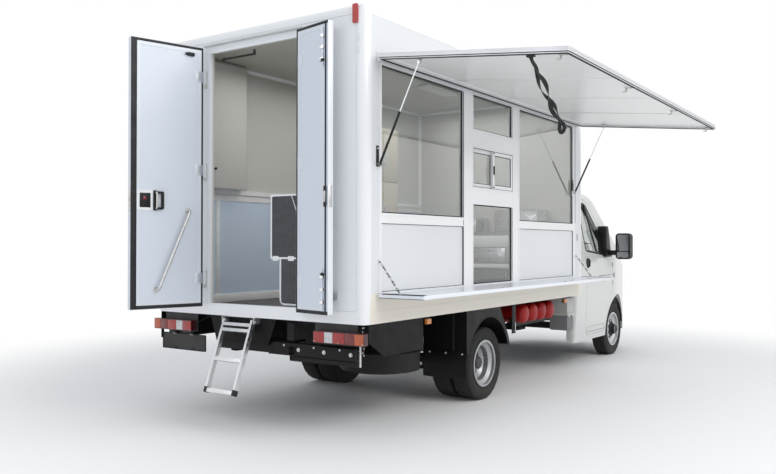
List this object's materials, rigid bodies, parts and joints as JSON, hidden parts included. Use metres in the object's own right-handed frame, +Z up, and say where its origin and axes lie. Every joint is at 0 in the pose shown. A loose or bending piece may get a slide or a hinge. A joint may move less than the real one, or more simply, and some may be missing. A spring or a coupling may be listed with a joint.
{
  "type": "food truck",
  "caption": "Box-bodied food truck on a light chassis cab: serving window under a raised awning, fold-down counter, open rear doors and a folding ladder.",
  "frame": {"origin": "on the ground at the centreline, under the rear axle", "axes": "+X towards the serving side (the vehicle's right), +Y forward to the cab, +Z up"},
  "size_m": [3.9671, 7.4669, 3.2099],
  "materials": {
    "white_panel": "smooth white sandwich panel skin",
    "white_profile": "white coated aluminium profile",
    "bare_aluminium": "brushed aluminium",
    "black_steel": "black chassis paint",
    "cab_paint": "gloss white cab paint",
    "black_plastic": "black moulded plastic",
    "glass": "clear glass",
    "tyre": "tyre rubber",
    "rim": "silver wheel paint",
    "red_steel": "red gas cylinder paint",
    "lens_red": "red lamp lens",
    "lens_amber": "amber lamp lens",
    "lens_clear": "clear lamp lens",
    "zinc": "zinc plated steel",
    "chrome_rod": "bright piston rod",
    "seat_fabric": "dark woven seat cloth",
    "cast": "dark cast iron",
    "interior_panel": "pale interior laminate",
    "table": "dark slate laminate with pale edge"
  },
  "bodies": {
    "truck": {"chassis_frame": "black_steel", "body_bearers": "black_steel", "cylinder_cradle": "black_steel", "rear_axle": "cast", "front_suspension": "cast", "engine_and_gearbox": "cast", "spare_wheel": "tyre", "box_profiles": "white_profile", "box_panels": "white_panel", "box_right_wall": "white_panel", "box_rear_wall": "white_panel", "serving_frame": "white_profile", "serving_glass": "glass", "wall_fittings": "bare_aluminium", "counter_chains": "zinc", "rear_fittings": "zinc", "rear_brackets": "black_steel", "underrun_bar": "black_steel", "underbody_panels": "black_steel", "rear_mudguards": "black_plastic", "tail_lamps": "lens_red", "marker_lamps": "lens_amber", "gas_cylinders": "red_steel", "interior_furniture": "interior_panel", "folding_table": "table", "cab_shell": "cab_paint", "windscreen": "glass", "front_bumper": "black_plastic", "headlamps": "lens_clear", "seats": "seat_fabric", "dashboard": "black_plastic"},
    "left_rear_leaf": {"rear_door_left": "white_panel", "rear_door_left_handles": "black_plastic"},
    "right_rear_leaf": {"rear_door_right": "white_panel"},
    "awning": {"awning_frame": "bare_aluminium", "awning_panel": "white_panel"},
    "strut_tubes": {"strut_tubes": "black_plastic"},
    "strut_rods": {"strut_rods": "chrome_rod"},
    "counter": {"counter_leaf": "white_panel"},
    "ladder": {"ladder": "bare_aluminium"},
    "bonnet": {"bonnet": "cab_paint"},
    "right_cab_door": {"cab_door_right": "cab_paint", "door_glass_right": "glass", "mirror_right": "black_plastic"},
    "left_cab_door": {"cab_door_left": "cab_paint", "door_glass_left": "glass", "mirror_left": "black_plastic"},
    "right_knuckle": {"knuckle_right": "cast"},
    "left_knuckle": {"knuckle_left": "cast"},
    "front_right_wheel": {"front_tyre_right": "tyre", "front_rim_right": "rim"},
    "front_left_wheel": {"front_tyre_left": "tyre", "front_rim_left": "rim"},
    "rear_right_wheels": {"rear_tyres_right": "tyre", "rear_rims_right": "rim"},
    "rear_left_wheels": {"rear_tyres_left": "tyre", "rear_rims_left": "rim"},
    "steering_wheel": {"steering_wheel": "black_plastic"}
  },
  "joints": [
    {"name": "left_rear_leaf_hinge", "type": "hinge", "parent": "truck", "child": "left_rear_leaf", "pos_m": [-0.515, -2.1205, 2], "axis": [0, 0, 1], "range_deg": [-62, 105.8]},
    {"name": "right_rear_leaf_hinge", "type": "hinge", "parent": "truck", "child": "right_rear_leaf", "pos_m": [0.515, -2.1205, 2], "axis": [0, 0, 1], "range_deg": [-168, 0]},
    {"name": "awning_hinge", "type": "hinge", "parent": "truck", "child": "awning", "pos_m": [1.16, 0, 2.805], "axis": [0, 1, 0], "range_deg": [0, 82.5]},
    {"name": "strut_tube_pivot", "type": "hinge", "parent": "truck", "child": "strut_tubes", "pos_m": [1.152, 0, 2.045], "axis": [0, 1, 0], "range_deg": [-30, 2]},
    {"name": "strut_rod_slide", "type": "slide", "parent": "strut_tubes", "child": "strut_rods", "axis": [0.4285, 0, 0.9035], "range_m": [-0.37, 0.01]},
    {"name": "counter_hinge", "type": "hinge", "parent": "truck", "child": "counter", "pos_m": [1.139, 0, 1.092], "axis": [0, 1, 0], "range_deg": [-90, 0], "deforming": ["counter_chains"]},
    {"name": "ladder_hinge", "type": "hinge", "parent": "truck", "child": "ladder", "pos_m": [-0.111, -2.108, 0.838], "axis": [1, 0, 0], "range_deg": [-69.5, 0]},
    {"name": "bonnet_hinge", "type": "hinge", "parent": "truck", "child": "bonnet", "pos_m": [0, 3.9575, 1.27133], "axis": [1, 0, 0], "range_deg": [0, 48]},
    {"name": "right_door_hinge", "type": "hinge", "parent": "truck", "child": "right_cab_door", "pos_m": [1.036, 3.5025, 1], "axis": [0, 0, 1], "range_deg": [0, 62]},
    {"name": "left_door_hinge", "type": "hinge", "parent": "truck", "child": "left_cab_door", "pos_m": [-1.036, 3.5025, 1], "axis": [0, 0, 1], "range_deg": [-62, 0]},
    {"name": "steer_right", "type": "hinge", "parent": "truck", "child": "right_knuckle", "pos_m": [0.742, 3.742, 0.338], "axis": [0, 0, 1], "range_deg": [-35, 35]},
    {"name": "steer_left", "type": "hinge", "parent": "truck", "child": "left_knuckle", "pos_m": [-0.742, 3.742, 0.338], "axis": [0, 0, 1], "range_deg": [-35, 35]},
    {"name": "steering_wheel_turn", "type": "hinge", "parent": "truck", "child": "steering_wheel", "pos_m": [-0.48, 3.23, 1.34], "axis": [0, -0.8838, 0.4679], "range_deg": [-490, 490]},
    {"name": "front_right_roll", "type": "hinge", "parent": "right_knuckle", "child": "front_right_wheel", "pos_m": [0.866, 3.742, 0.338], "axis": [1, 0, 0], "continuous": true},
    {"name": "front_left_roll", "type": "hinge", "parent": "left_knuckle", "child": "front_left_wheel", "pos_m": [-0.866, 3.742, 0.338], "axis": [1, 0, 0], "continuous": true},
    {"name": "rear_right_roll", "type": "hinge", "parent": "truck", "child": "rear_right_wheels", "pos_m": [0.8, 0, 0.338], "axis": [1, 0, 0], "continuous": true},
    {"name": "rear_left_roll", "type": "hinge", "parent": "truck", "child": "rear_left_wheels", "pos_m": [-0.8, 0, 0.338], "axis": [1, 0, 0], "continuous": true}
  ],
  "couplings": [
    {"joint": "strut_tube_pivot", "follows": "awning_hinge", "ratio": -0.31529},
    {"joint": "strut_rod_slide", "follows": "awning_hinge", "m_per_rad": -0.24296},
    {"joint": "steer_left", "follows": "steer_right", "ratio": 1},
    {"joint": "steering_wheel_turn", "follows": "steer_right", "ratio": 13.9}
  ]
}
